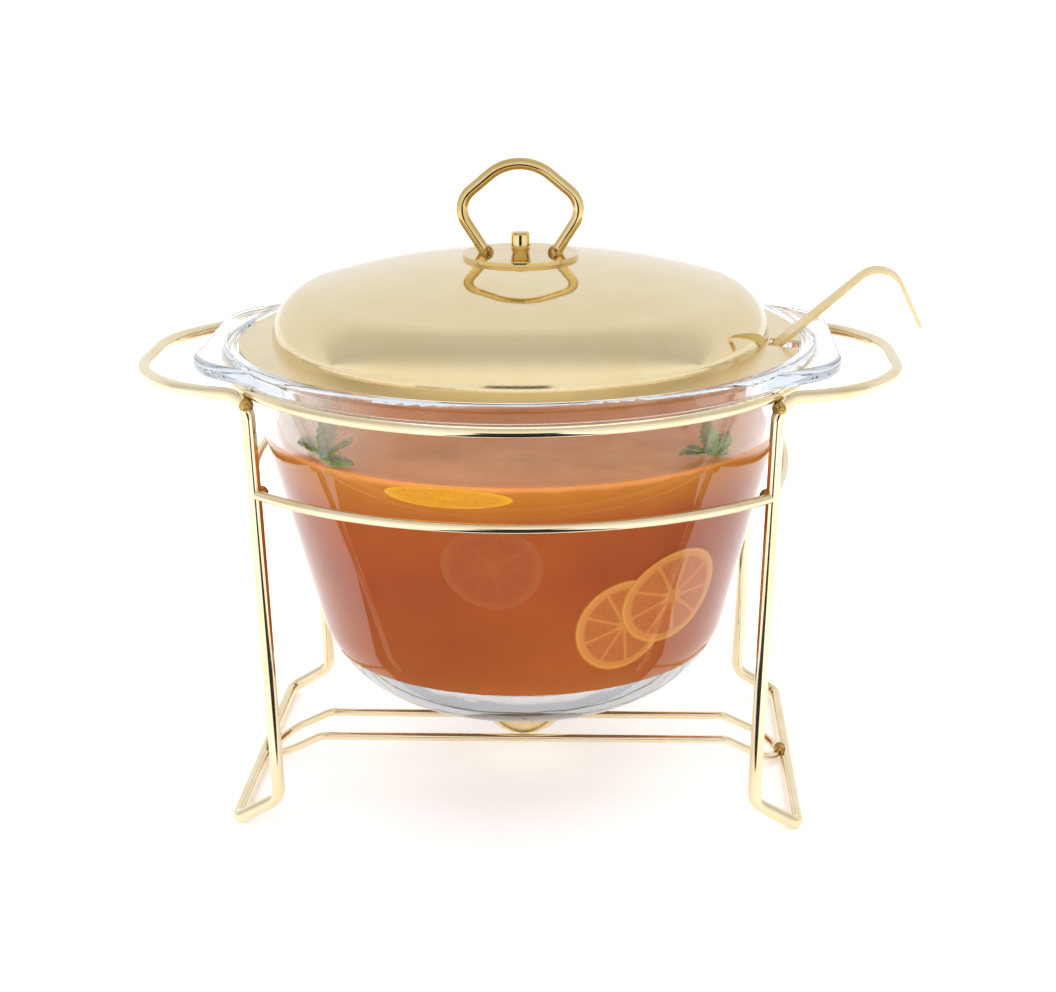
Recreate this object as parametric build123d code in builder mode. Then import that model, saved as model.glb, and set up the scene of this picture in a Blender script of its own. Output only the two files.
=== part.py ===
"""Chafing dish food warmer: glass bowl in a bent-wire stand, domed lid, ladle and candle burner.

Millimetres, +Z up. The origin is on the floor, on the bowl's axis. The handle loops point along X.
"""
from build123d import *
from math import atan2, cos, degrees, radians, sin, sqrt
import os

os.makedirs("parts", exist_ok=True)

# ---------------------------------------------------------------- stand
FRAME_WIRE = 5.6            # wire diameter of the two side frames
RING_WIRE = 4.6             # wire diameter of the ring that the bowl hangs in
ARC_WIRE = 4.2              # wire diameter of the four lower arcs
RAIL_WIRE = 3.6             # wire diameter of the burner rail
WELD_SINK = 0.4             # how far two welded wires sink into each other

LOOP_HEIGHT = 190.0         # centre-line height of the handle loops
LEG_TOP_X = 107.3           # where a leg meets its handle loop
LEG_TOP_Y = 71.1
LEG_LEAN = 6.3              # how far a leg comes in on its way down
LEG_SPREAD = 2.4            # how far the two legs of a frame part on their way down
LEG_FOOT_HEIGHT = 13.5      # where a leg turns out into its foot
FOOT_OUT = 19.0             # how far a foot goes out from its leg
FOOT_TOE_IN = 1.5
LOOP_SHOULDER_OUT = 32.2    # the handle loop's two shoulders, from the legs' tops
LOOP_SHOULDER_IN = 8.1
LOOP_END_OUT = 54.3         # the handle loop's far end
LOOP_END_IN = 44.1
LEG_TOP_BEND = 10.0
LEG_FOOT_BEND = 8.0
FOOT_BEND = 5.0
LOOP_BEND = 54.0

RING_TUCK = 2.9             # how far the bowl's ring reaches in under the legs' top bends
RING_HEIGHT = 190.6         # centre-line height of the bowl's ring
ARC_HEIGHT = 148.5          # centre-line height of the lower arcs
FRONT_ARC_GAP = 3.6         # between the front or rear arc and the bowl's wall
SIDE_ARC_GAP = 4.2          # between the left or right arc and the bowl's wall
RAIL_GAP = 26.8             # distance between the two straight runs of the burner rail
RAIL_HEIGHT = 15.2          # centre-line height of those runs
RAIL_END_LENGTH = 28.0      # from the end of those runs to the base rails
RAIL_END_HEIGHT = 3.6       # centre-line height of the rail's rounded ends
RAIL_BEND = 9.0
RING_BEAD_RADIUS = 3.1      # weld beads under the bowl's ring
ARC_BEAD_RADIUS = 3.1       # weld beads of the lower arcs
RAIL_BEAD_RADIUS = 2.6      # weld beads of the burner rail

# ---------------------------------------------------------------- bowl
BOWL_REST_GAP = 0.3         # between the ring and the rim that rests on it
RIM_OVERHANG = 1.0          # of the rim's edge beyond the ring's centre line
RIM_HEIGHT = 8.0
RIM_ROUND = 1.6
SEAT_ROUND = 1.0            # on the glass edges beside the lid's seat
SEAT_CORNER = 0.4           # in the seat's inside corner
LUG_OUT = 8.1               # how far the lugs' ends stand out from the rim
LUG_END_HALF = 50.0         # half the length of a lug's end
LUG_ROOT_BEARING = 38.2     # degrees: where a lug's side meets the rim
LUG_CORNER = 34.0
LUG_THICK = 6.6
LUG_ROUND = 2.4
BOWL_SIDE_GAP = 4.2         # between the ring and the bowl's wall just under the rim
BOWL_DEPTH = 152.5          # from the rim's underside to the bowl's base
BOWL_TAPER = 0.259          # how much the wall comes in for each millimetre down
BOWL_CORNER = 48.0          # rounding between the wall and the base
BOWL_WALL = 4.6
BOWL_BASE = 8.5

# ---------------------------------------------------------------- lid
LID_FIT_GAP = 1.2           # around the flange, inside the rim's recess
LID_REST_GAP = 0.3          # under the flange
LID_SHEET = 1.0
FLANGE_WIDTH = 14.0
FLANGE_FALL = 0.9           # how far the flange slopes down to its edge
RECESS_DEPTH = 2.4          # of the seat in the bowl's rim
RECESS_WALL = 5.2           # glass left outside the seat
DOME_HEIGHT = 34.0
SHOULDER_RADIUS = 22.0      # of the rounding between the dome's foot and its crown
PLATE_RADIUS = 25.0
PLATE_THICK = 0.8
HANDLE_BAR = 5.1
HANDLE_FOOT_X = 14.9        # the handle's feet, its wide corners and its top, above the plate
HANDLE_WIDE_X = 28.3
HANDLE_WIDE_Z = 20.8
HANDLE_PEAK_Z = 44.6
HANDLE_WIDE_BEND = 10.6
HANDLE_PEAK_BEND = 20.3
HANDLE_BEAD_RADIUS = 3.3
STUD_RADIUS = 2.0
STUD_HOLE_GAP = 0.1         # around the stud, in the pieces it goes through
STUD_TAIL = 6.0             # below the dome's underside
STUD_IN_NUT = 6.0
NUT_RADIUS = 4.3
NUT_HEIGHT = 9.2
NUT_COLLAR = 2.9            # height of the tapered collar
NUT_COLLAR_FOOT = 3.7       # radius of the collar's foot
NUT_GROOVE = 0.35
NUT_CROWN = 1.1
WASHER_RADIUS = 6.0
WASHER_THICK = 0.9
HEX_ACROSS_FLATS = 7.0
HEX_THICK = 3.2

# ---------------------------------------------------------------- ladle
LADLE_BEARING = -9.0        # degrees: the notch's and the ladle's direction from +X
LADLE_SLOPE = 42.0          # degrees: the handle's slope where it leaves the bowl
LADLE_ROLL = 10.0           # degrees: how far the ladle is turned about its handle
STRIP_WIDTH = 10.6          # up to the notch
STRIP_TIP_WIDTH = 5.6       # near the hooked end
STRIP_THICK = 1.6
NOTCH_CLEARANCE = 1.6       # at each side of the strip
NOTCH_INSET = 0.6           # flange left between the dome and the notch
STRIP_OUT = 62.0            # strip length from the flange to its bend
NOTCH_TO_STRIP = 2.3        # from the notch's inner end to the strip's middle
CUP_ABOVE_FLOOR = 56.2      # from the bowl's inner floor up to where the strip meets the cup's rim
CUP_LAP = 10.0              # how far the strip runs down the cup's wall
HOOK_LENGTH = 36.0          # from the bend to the tip
HOOK_TURN = 107.0           # degrees between the strip's direction and the hook's
HOOK_BEND = 11.0
HOOK_ROUND = 2.2            # corners of the tip
CUP_RADIUS = 27.2
CUP_STRAIGHT = 11.0
CUP_ROUND_DEPTH = 15.0
CUP_WALL = 1.2
RIVET_RADIUS = 1.5
RIVET_HEAD = 2.6
RIVET_HEAD_THICK = 0.9
RIVET_SPACING = 5.6

# ---------------------------------------------------------------- burner
DISH_BODY_RADIUS = 22.0     # the dish is part of a ball of this radius
DISH_FOOT_RADIUS = 8.0
DISH_DEPTH = 11.5
DISH_SHEET = 0.7
DISH_SLIDE_GAP = 0.3        # between the dish and the rails it slides on
WAX_BELOW_RIM = 2.4
WICK_RADIUS = 0.8
WICK_ABOVE_WAX = 5.0
SUSTAINER_RADIUS = 6.0
SUSTAINER_THICK = 0.4

# ---------------------------------------------------------------- worked out
SIDES = {"left": -1, "right": 1}
LEG_FOOT_X = LEG_TOP_X - LEG_LEAN
LEG_FOOT_Y = LEG_TOP_Y + LEG_SPREAD
FOOT_X = LEG_FOOT_X + FOOT_OUT
RAIL_RUN = FOOT_X - RAIL_END_LENGTH
LEG_TOP_RADIUS = sqrt(LEG_TOP_X**2 + LEG_TOP_Y**2)
RING_RADIUS = LEG_TOP_RADIUS - (FRAME_WIRE + RING_WIRE) / 2 + WELD_SINK + RING_TUCK
RIM_RADIUS = RING_RADIUS + RIM_OVERHANG
BOWL_MOUTH_RADIUS = RING_RADIUS - RING_WIRE / 2 - BOWL_SIDE_GAP
RIM_UNDERSIDE = RING_HEIGHT + RING_WIRE / 2 + BOWL_REST_GAP
RIM_TOP = RIM_UNDERSIDE + RIM_HEIGHT
BOWL_FLOOR = RIM_UNDERSIDE - BOWL_DEPTH
INNER_FLOOR = BOWL_FLOOR + BOWL_BASE
SEAT_HEIGHT = RIM_TOP - RECESS_DEPTH
SEAT_RADIUS = RIM_RADIUS - RECESS_WALL
FLANGE_RADIUS = SEAT_RADIUS - LID_FIT_GAP
FLANGE_EDGE = SEAT_HEIGHT + LID_REST_GAP
DOME_RADIUS = FLANGE_RADIUS - FLANGE_WIDTH
DOME_FOOT = FLANGE_EDGE + FLANGE_FALL + LID_SHEET
DOME_TOP = DOME_FOOT + DOME_HEIGHT
PLATE_TOP = DOME_TOP + PLATE_THICK
SHOULDER_CENTRE = DOME_RADIUS - SHOULDER_RADIUS
CROWN_REACH = SHOULDER_CENTRE**2 + DOME_HEIGHT**2 - SHOULDER_RADIUS**2
CROWN_RADIUS = CROWN_REACH / (2 * (DOME_HEIGHT - SHOULDER_RADIUS))
CUP_DOWN = (FLANGE_EDGE - INNER_FLOOR - CUP_ABOVE_FLOOR) / sin(radians(LADLE_SLOPE))
SHOULDER_TURN = degrees(atan2(CROWN_RADIUS - DOME_HEIGHT, SHOULDER_CENTRE))


def save(builder, name):
    """Labels a finished piece and writes it as a STEP file of the same name."""
    builder.part.label = name
    export_step(builder.part, f"parts/{name}.step")


def wall_radius(height, inset=0.0):
    """The bowl's wall radius at a height, on its straight taper."""
    return BOWL_MOUTH_RADIUS - inset - BOWL_TAPER * (RIM_UNDERSIDE - height)


def leg_at(height):
    """X and Y of a leg's centre line at a height."""
    share = (LOOP_HEIGHT - height) / (LOOP_HEIGHT - LEG_FOOT_HEIGHT)
    x = LEG_TOP_X + share * (LEG_FOOT_X - LEG_TOP_X)
    y = LEG_TOP_Y + share * (LEG_FOOT_Y - LEG_TOP_Y)
    return x, y


# ================================================================ side frames
def side_frame_corners(side):
    """The corners of one side frame's closed centre line, from the front leg's top round the handle loop."""
    half = [
        (LEG_TOP_X, -LEG_TOP_Y, LOOP_HEIGHT, LEG_TOP_BEND),
        (LEG_TOP_X + LOOP_SHOULDER_OUT, LOOP_SHOULDER_IN - LEG_TOP_Y, LOOP_HEIGHT, LOOP_BEND),
        (LEG_TOP_X + LOOP_END_OUT, LOOP_END_IN - LEG_TOP_Y, LOOP_HEIGHT, LOOP_BEND),
    ]
    foot = [
        (LEG_FOOT_X, LEG_FOOT_Y, LEG_FOOT_HEIGHT, LEG_FOOT_BEND),
        (FOOT_X, LEG_FOOT_Y - FOOT_TOE_IN, FRAME_WIRE / 2, FOOT_BEND),
    ]
    back = [(x, -y, z, bend) for x, y, z, bend in reversed(half)]
    front_foot = [(x, -y, z, bend) for x, y, z, bend in reversed(foot)]
    corners = half + back + foot + front_foot
    points = [(side * x, y, z) for x, y, z, bend in corners]
    bends = [bend for x, y, z, bend in corners]
    return points, bends


side_frames = {}
for word, side in SIDES.items():
    frame_points, frame_bends = side_frame_corners(side)
    with BuildPart() as side_frame:
        with BuildLine() as frame_path:
            FilletPolyline(*frame_points, radius=frame_bends, close=True)
        with BuildSketch(Plane(origin=frame_path.line @ 0, z_dir=frame_path.line % 0)):
            Circle(FRAME_WIRE / 2)
        sweep(path=frame_path.line)
    save(side_frame, f"{word}_side_frame")
    side_frames[word] = side_frame.part

frame_wires = list(side_frames.values())

# ================================================================ top ring
with BuildPart() as top_ring:
    with BuildSketch(Plane.XZ):
        with Locations((RING_RADIUS, RING_HEIGHT)):
            Circle(RING_WIRE / 2)
    revolve(axis=Axis.Z)
    add(frame_wires, mode=Mode.SUBTRACT)
save(top_ring, "top_ring")

# ================================================================ lower arcs
weld_x, weld_y = leg_at(ARC_HEIGHT)
front_reach = wall_radius(ARC_HEIGHT) + FRONT_ARC_GAP + ARC_WIRE / 2
side_reach = wall_radius(ARC_HEIGHT) + SIDE_ARC_GAP + ARC_WIRE / 2
arc_points = {
    "front": ((-weld_x, -weld_y), (0, -front_reach), (weld_x, -weld_y)),
    "rear": ((-weld_x, weld_y), (0, front_reach), (weld_x, weld_y)),
    "left": ((-weld_x, -weld_y), (-side_reach, 0), (-weld_x, weld_y)),
    "right": ((weld_x, -weld_y), (side_reach, 0), (weld_x, weld_y)),
}
lower_arcs = []
for word, (start, middle, finish) in arc_points.items():
    with BuildPart() as lower_arc:
        with BuildLine(Plane.XY.offset(ARC_HEIGHT)) as arc_path:
            ThreePointArc(start, middle, finish)
        with BuildSketch(Plane(origin=arc_path.line @ 0, z_dir=arc_path.line % 0)):
            Circle(ARC_WIRE / 2)
        sweep(path=arc_path.line)
        add(frame_wires, mode=Mode.SUBTRACT)
    save(lower_arc, f"lower_{word}_arc")
    lower_arcs.append(lower_arc.part)

# ================================================================ burner rail
rail_drop = RAIL_HEIGHT - RAIL_END_HEIGHT
rail_end_radius = RAIL_GAP / 2
rail_tip_x = FOOT_X - (FRAME_WIRE + RAIL_WIRE) / 2 + WELD_SINK
rail_slope = atan2(rail_drop, rail_tip_x - RAIL_RUN)
round_start_x = rail_tip_x - rail_end_radius * cos(rail_slope)
round_start_z = RAIL_END_HEIGHT + rail_end_radius * sin(rail_slope)
with BuildPart() as burner_rail:
    with BuildLine() as rail_path:
        for y in (-rail_end_radius, rail_end_radius):
            FilletPolyline(
                (-round_start_x, y, round_start_z),
                (-RAIL_RUN, y, RAIL_HEIGHT),
                (RAIL_RUN, y, RAIL_HEIGHT),
                (round_start_x, y, round_start_z),
                radius=RAIL_BEND,
            )
        for side in SIDES.values():
            ThreePointArc(
                (side * round_start_x, -rail_end_radius, round_start_z),
                (side * rail_tip_x, 0, RAIL_END_HEIGHT),
                (side * round_start_x, rail_end_radius, round_start_z),
            )
    rail_wire = rail_path.wires()[0]
    with BuildSketch(Plane(origin=rail_wire @ 0, z_dir=rail_wire % 0)):
        Circle(RAIL_WIRE / 2)
    sweep(path=rail_wire)
    add(frame_wires, mode=Mode.SUBTRACT)
save(burner_rail, "burner_rail")

# ================================================================ weld beads
def inset_point(x, y, inset, height):
    """A point that lies a distance nearer the axis than X and Y do, at a height."""
    share = 1 - inset / sqrt(x**2 + y**2)
    return x * share, y * share, height


ring_contact = LEG_TOP_RADIUS - RING_RADIUS - RING_WIRE / 2
with BuildPart() as top_ring_welds:
    for x in (-LEG_TOP_X, LEG_TOP_X):
        for y in (-LEG_TOP_Y, LEG_TOP_Y):
            with Locations(inset_point(x, y, ring_contact, RING_HEIGHT - RING_WIRE)):
                Sphere(RING_BEAD_RADIUS)
    add([*frame_wires, top_ring.part], mode=Mode.SUBTRACT)
save(top_ring_welds, "top_ring_welds")

with BuildPart() as lower_arc_welds:
    for x in (-weld_x, weld_x):
        for y in (-weld_y, weld_y):
            with Locations(inset_point(x, y, FRAME_WIRE / 2, ARC_HEIGHT)):
                Sphere(ARC_BEAD_RADIUS)
    add([*frame_wires, *lower_arcs], mode=Mode.SUBTRACT)
save(lower_arc_welds, "lower_arc_welds")

rail_contact_x = rail_tip_x + (RAIL_WIRE - WELD_SINK) / 2
with BuildPart() as burner_rail_welds:
    for side in SIDES.values():
        with Locations((side * rail_contact_x, 0, RAIL_END_HEIGHT + RAIL_WIRE / 2)):
            Sphere(RAIL_BEAD_RADIUS)
    add([*frame_wires, burner_rail.part], mode=Mode.SUBTRACT)
save(burner_rail_welds, "burner_rail_welds")

# ================================================================ glass bowl
lug_reach = RIM_RADIUS + LUG_OUT
lug_root_x = (RIM_RADIUS - RIM_ROUND) * cos(radians(LUG_ROOT_BEARING))
lug_root_y = (RIM_RADIUS - RIM_ROUND) * sin(radians(LUG_ROOT_BEARING))
with BuildPart() as lugs:
    with BuildSketch(Plane.XY.offset(RIM_UNDERSIDE)):
        for side in SIDES.values():
            with BuildLine():
                Polyline(
                    (side * lug_root_x, -lug_root_y),
                    (side * lug_reach, -LUG_END_HALF),
                    (side * lug_reach, LUG_END_HALF),
                    (side * lug_root_x, lug_root_y),
                    close=True,
                )
            make_face()
        Circle(RIM_RADIUS - RIM_ROUND, mode=Mode.SUBTRACT)
    extrude(amount=LUG_THICK)
    outer_corners = lugs.edges().filter_by(Axis.Z).filter_by_position(
        Axis.Y, -LUG_END_HALF - 1, LUG_END_HALF + 1
    )
    fillet(outer_corners, LUG_CORNER)
    outlines = lugs.edges().filter_by(Axis.Z, reverse=True)
    fillet([edge for edge in outlines if edge.center().X**2 + edge.center().Y**2 > RIM_RADIUS**2], LUG_ROUND)

with BuildPart() as glass_bowl:
    with BuildSketch(Plane.XZ):
        with BuildLine():
            bowl_section = FilletPolyline(
                (0, BOWL_FLOOR),
                (wall_radius(BOWL_FLOOR), BOWL_FLOOR),
                (BOWL_MOUTH_RADIUS, RIM_UNDERSIDE),
                (RIM_RADIUS, RIM_UNDERSIDE),
                (RIM_RADIUS, RIM_TOP),
                (SEAT_RADIUS, RIM_TOP),
                (SEAT_RADIUS, SEAT_HEIGHT),
                (wall_radius(SEAT_HEIGHT, BOWL_WALL), SEAT_HEIGHT),
                (wall_radius(INNER_FLOOR, BOWL_WALL), INNER_FLOOR),
                (0, INNER_FLOOR),
                radius=[
                    BOWL_CORNER, RIM_ROUND, RIM_ROUND, RIM_ROUND,
                    SEAT_ROUND, SEAT_CORNER, SEAT_ROUND, BOWL_CORNER - BOWL_WALL,
                ],
            )
            Line(bowl_section @ 1, bowl_section @ 0)
        make_face()
    revolve(axis=Axis.Z)
    add(lugs.part)
save(glass_bowl, "glass_bowl")

# ================================================================ ladle: strip handle, cup and rivets
bearing = radians(LADLE_BEARING)
slope = radians(LADLE_SLOPE)
roll = radians(LADLE_ROLL)
outward = Vector(cos(bearing), sin(bearing), 0)
upward = Vector(0, 0, 1)
level_side = Vector(sin(bearing), -cos(bearing), 0)
level_below = outward * sin(slope) - upward * cos(slope)
along_strip = outward * cos(slope) + upward * sin(slope)
sideways = level_side * cos(roll) + level_below * sin(roll)
below_strip = level_below * cos(roll) - level_side * sin(roll)
strip_origin = outward * (DOME_RADIUS + NOTCH_INSET + NOTCH_TO_STRIP) + upward * FLANGE_EDGE


def by_strip(length, below=0.0):
    """A point in the ladle's middle plane: a length up the strip from the flange, a distance below it."""
    return strip_origin + along_strip * length + below_strip * below


hook_start = by_strip(STRIP_OUT)
hook_turn = radians(HOOK_TURN)
hook_direction = along_strip * cos(hook_turn) + below_strip * sin(hook_turn)
hook_tip = hook_start + hook_direction * HOOK_LENGTH
cup_centre = by_strip(-CUP_DOWN, CUP_RADIUS + STRIP_THICK / 2)
CUP_PLANE = Plane(origin=cup_centre, x_dir=below_strip, z_dir=sideways)
RIVET_PLANE = Plane(origin=cup_centre, x_dir=sideways, z_dir=below_strip)
TAPER_PLANE = Plane(origin=strip_origin, x_dir=along_strip, z_dir=below_strip)
strip_face = CUP_RADIUS + STRIP_THICK
rivet_rows = [-(CUP_LAP - RIVET_SPACING) / 2, -(CUP_LAP + RIVET_SPACING) / 2]

with BuildPart() as rivet_shanks:
    with BuildSketch(RIVET_PLANE.offset(-strip_face)):
        for row in rivet_rows:
            with Locations((0, row)):
                Circle(RIVET_RADIUS)
    extrude(amount=STRIP_THICK + CUP_WALL)

with BuildPart() as strip_taper:
    with BuildSketch(TAPER_PLANE):
        with BuildLine():
            Polyline(
                (-CUP_DOWN - CUP_LAP, -STRIP_WIDTH / 2),
                (0, -STRIP_WIDTH / 2),
                (STRIP_OUT, -STRIP_TIP_WIDTH / 2),
                (STRIP_OUT, STRIP_TIP_WIDTH / 2),
                (0, STRIP_WIDTH / 2),
                (-CUP_DOWN - CUP_LAP, STRIP_WIDTH / 2),
                close=True,
            )
        make_face()
    extrude(amount=2 * HOOK_LENGTH, both=True)

with BuildPart() as ladle_handle:
    with BuildLine() as strip_path:
        FilletPolyline(by_strip(-CUP_DOWN - CUP_LAP), hook_start, hook_tip, radius=HOOK_BEND)
    with BuildSketch(Plane(origin=strip_path.line @ 0, x_dir=sideways, z_dir=strip_path.line % 0)):
        Rectangle(STRIP_WIDTH, STRIP_THICK)
    sweep(path=strip_path.line)
    add(strip_taper.part, mode=Mode.INTERSECT)
    add(rivet_shanks.part, mode=Mode.SUBTRACT)
    across_strip = ladle_handle.edges().filter_by(lambda edge: abs(edge.length - STRIP_THICK) < 0.01)
    fillet(across_strip.sort_by_distance(hook_tip)[:2], HOOK_ROUND)
save(ladle_handle, "ladle_handle")

with BuildPart() as ladle_cup:
    with BuildSketch(CUP_PLANE):
        with BuildLine():
            outer_curve = EllipticalCenterArc(
                (0, -CUP_STRAIGHT), CUP_RADIUS, CUP_ROUND_DEPTH, -90, arc_size=90
            )
            Polyline(
                (CUP_RADIUS, -CUP_STRAIGHT),
                (CUP_RADIUS, 0),
                (CUP_RADIUS - CUP_WALL, 0),
                (CUP_RADIUS - CUP_WALL, -CUP_STRAIGHT),
            )
            inner_curve = EllipticalCenterArc(
                (0, -CUP_STRAIGHT), CUP_RADIUS - CUP_WALL, CUP_ROUND_DEPTH - CUP_WALL, -90, arc_size=90
            )
            Line(outer_curve @ 0, inner_curve @ 0)
        make_face()
    revolve(axis=Axis(cup_centre, CUP_PLANE.y_dir))
    add(rivet_shanks.part, mode=Mode.SUBTRACT)
save(ladle_cup, "ladle_cup")

with BuildPart() as ladle_rivets:
    add(rivet_shanks.part)
    for face_offset in (-strip_face - RIVET_HEAD_THICK, CUP_WALL - CUP_RADIUS):
        with BuildSketch(RIVET_PLANE.offset(face_offset)):
            for row in rivet_rows:
                with Locations((0, row)):
                    Circle(RIVET_HEAD)
        extrude(amount=RIVET_HEAD_THICK)
    add([ladle_handle.part, ladle_cup.part], mode=Mode.SUBTRACT)
save(ladle_rivets, "ladle_rivets")

# ================================================================ lid
def dome_arcs(inset=0.0):
    """Draws the dome's section from its foot to its top: the shoulder and the flatter crown."""
    shoulder = CenterArc((SHOULDER_CENTRE, DOME_FOOT), SHOULDER_RADIUS - inset, 0, SHOULDER_TURN)
    crown_centre = (0, DOME_TOP - CROWN_RADIUS)
    crown = CenterArc(crown_centre, CROWN_RADIUS - inset, SHOULDER_TURN, 90 - SHOULDER_TURN)
    return shoulder @ 0, crown @ 1


with BuildPart() as dome_block:
    with BuildSketch(Plane.XZ):
        with BuildLine():
            block_foot, block_top = dome_arcs()
            Polyline(block_top, (0, DOME_FOOT), block_foot)
        make_face()
    revolve(axis=Axis.Z)

with BuildPart() as lid_shell:
    with BuildSketch(Plane.XZ):
        with BuildLine():
            outer_foot, outer_top = dome_arcs()
            inner_foot, inner_top = dome_arcs(LID_SHEET)
            Polyline(
                outer_foot,
                (FLANGE_RADIUS, FLANGE_EDGE + LID_SHEET),
                (FLANGE_RADIUS, FLANGE_EDGE),
                (DOME_RADIUS - LID_SHEET, DOME_FOOT - LID_SHEET),
                inner_foot,
            )
            Line(inner_top, outer_top)
        make_face()
    revolve(axis=Axis.Z)
    with Locations((0, 0, DOME_TOP)):
        Cylinder(STUD_RADIUS + STUD_HOLE_GAP, DOME_HEIGHT, mode=Mode.SUBTRACT)
    notch_length = FLANGE_RADIUS - DOME_RADIUS
    notch_width = STRIP_WIDTH + 2 * NOTCH_CLEARANCE
    with Locations(outward * (DOME_RADIUS + NOTCH_INSET) + upward * FLANGE_EDGE):
        Box(
            notch_length, notch_width, DOME_HEIGHT,
            rotation=(0, 0, LADLE_BEARING), align=(Align.MIN, Align.CENTER, Align.CENTER),
            mode=Mode.SUBTRACT,
        )
save(lid_shell, "lid_shell")

with BuildPart() as handle_plate:
    with Locations((0, 0, PLATE_TOP)):
        Cylinder(PLATE_RADIUS, DOME_HEIGHT / 2, align=(Align.CENTER, Align.CENTER, Align.MAX))
        Cylinder(STUD_RADIUS + STUD_HOLE_GAP, DOME_HEIGHT, mode=Mode.SUBTRACT)
    add(dome_block.part, mode=Mode.SUBTRACT)
save(handle_plate, "handle_plate")

with BuildPart() as lid_handle:
    foot_below = HANDLE_BAR
    foot_in = foot_below * (HANDLE_WIDE_X - HANDLE_FOOT_X) / HANDLE_WIDE_Z
    with BuildLine(Plane.XZ) as handle_path:
        FilletPolyline(
            (foot_in - HANDLE_FOOT_X, PLATE_TOP - foot_below),
            (-HANDLE_WIDE_X, PLATE_TOP + HANDLE_WIDE_Z),
            (0, PLATE_TOP + HANDLE_PEAK_Z),
            (HANDLE_WIDE_X, PLATE_TOP + HANDLE_WIDE_Z),
            (HANDLE_FOOT_X - foot_in, PLATE_TOP - foot_below),
            radius=[HANDLE_WIDE_BEND, HANDLE_PEAK_BEND, HANDLE_WIDE_BEND],
        )
    with BuildSketch(Plane(origin=handle_path.line @ 0, z_dir=handle_path.line % 0)):
        Circle(HANDLE_BAR / 2)
    sweep(path=handle_path.line)
    split(bisect_by=Plane.XY.offset(PLATE_TOP), keep=Keep.TOP)
save(lid_handle, "lid_handle")

with BuildPart() as handle_welds:
    for side in SIDES.values():
        with Locations((side * HANDLE_FOOT_X, 0, PLATE_TOP)):
            Sphere(HANDLE_BEAD_RADIUS)
    split(bisect_by=Plane.XY.offset(PLATE_TOP), keep=Keep.TOP)
    add(lid_handle.part, mode=Mode.SUBTRACT)
save(handle_welds, "handle_welds")

with BuildPart() as cap_nut:
    with BuildSketch(Plane.XZ):
        with BuildLine():
            Polyline(
                (0, PLATE_TOP),
                (NUT_COLLAR_FOOT, PLATE_TOP),
                (NUT_RADIUS, PLATE_TOP + NUT_COLLAR - NUT_GROOVE),
                (NUT_RADIUS - NUT_GROOVE, PLATE_TOP + NUT_COLLAR),
                (NUT_RADIUS, PLATE_TOP + NUT_COLLAR + NUT_GROOVE),
                (NUT_RADIUS, PLATE_TOP + NUT_HEIGHT - NUT_CROWN),
                (NUT_RADIUS - NUT_CROWN, PLATE_TOP + NUT_HEIGHT),
                (0, PLATE_TOP + NUT_HEIGHT),
                close=True,
            )
        make_face()
    revolve(axis=Axis.Z)
    with Locations((0, 0, PLATE_TOP)):
        Cylinder(
            STUD_RADIUS, STUD_IN_NUT, align=(Align.CENTER, Align.CENTER, Align.MIN), mode=Mode.SUBTRACT
        )
save(cap_nut, "cap_nut")

dome_inside_top = DOME_TOP - LID_SHEET
with BuildPart() as lid_stud:
    with Locations((0, 0, dome_inside_top - STUD_TAIL)):
        Cylinder(
            STUD_RADIUS,
            STUD_TAIL + LID_SHEET + PLATE_THICK + STUD_IN_NUT,
            align=(Align.CENTER, Align.CENTER, Align.MIN),
        )
save(lid_stud, "lid_stud")

with BuildPart() as lid_washer:
    with Locations((0, 0, dome_inside_top)):
        Cylinder(WASHER_RADIUS, WASHER_THICK, align=(Align.CENTER, Align.CENTER, Align.MAX))
        Cylinder(STUD_RADIUS + STUD_HOLE_GAP, DOME_HEIGHT, mode=Mode.SUBTRACT)
    add(lid_shell.part, mode=Mode.SUBTRACT)
save(lid_washer, "lid_washer")

with BuildPart() as lid_nut:
    with BuildSketch(Plane.XY.offset(dome_inside_top - WASHER_THICK - HEX_THICK)):
        RegularPolygon(HEX_ACROSS_FLATS / 2, 6, major_radius=False)
        Circle(STUD_RADIUS, mode=Mode.SUBTRACT)
    extrude(amount=HEX_THICK)
save(lid_nut, "lid_nut")

# ================================================================ burner
ball_clearance = DISH_BODY_RADIUS + RAIL_WIRE / 2 + DISH_SLIDE_GAP
ball_height = RAIL_HEIGHT + sqrt(ball_clearance**2 - rail_end_radius**2)
dish_foot = ball_height - sqrt(DISH_BODY_RADIUS**2 - DISH_FOOT_RADIUS**2)
dish_rim = dish_foot + DISH_DEPTH
wax_top = dish_rim - WAX_BELOW_RIM
sustainer_foot = dish_foot + DISH_SHEET

with BuildPart() as burner_dish:
    with Locations((0, 0, ball_height)):
        Sphere(DISH_BODY_RADIUS)
    split(bisect_by=Plane.XY.offset(dish_rim), keep=Keep.BOTTOM)
    split(bisect_by=Plane.XY.offset(dish_foot), keep=Keep.TOP)
    offset(amount=-DISH_SHEET, openings=burner_dish.faces().sort_by(Axis.Z)[-1])
save(burner_dish, "burner_dish")

with BuildPart() as wick_sustainer:
    with Locations((0, 0, sustainer_foot)):
        Cylinder(SUSTAINER_RADIUS, SUSTAINER_THICK, align=(Align.CENTER, Align.CENTER, Align.MIN))
save(wick_sustainer, "wick_sustainer")

with BuildPart() as candle_wick:
    with Locations((0, 0, sustainer_foot + SUSTAINER_THICK)):
        Cylinder(
            WICK_RADIUS,
            wax_top + WICK_ABOVE_WAX - sustainer_foot - SUSTAINER_THICK,
            align=(Align.CENTER, Align.CENTER, Align.MIN),
        )
save(candle_wick, "candle_wick")

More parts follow.
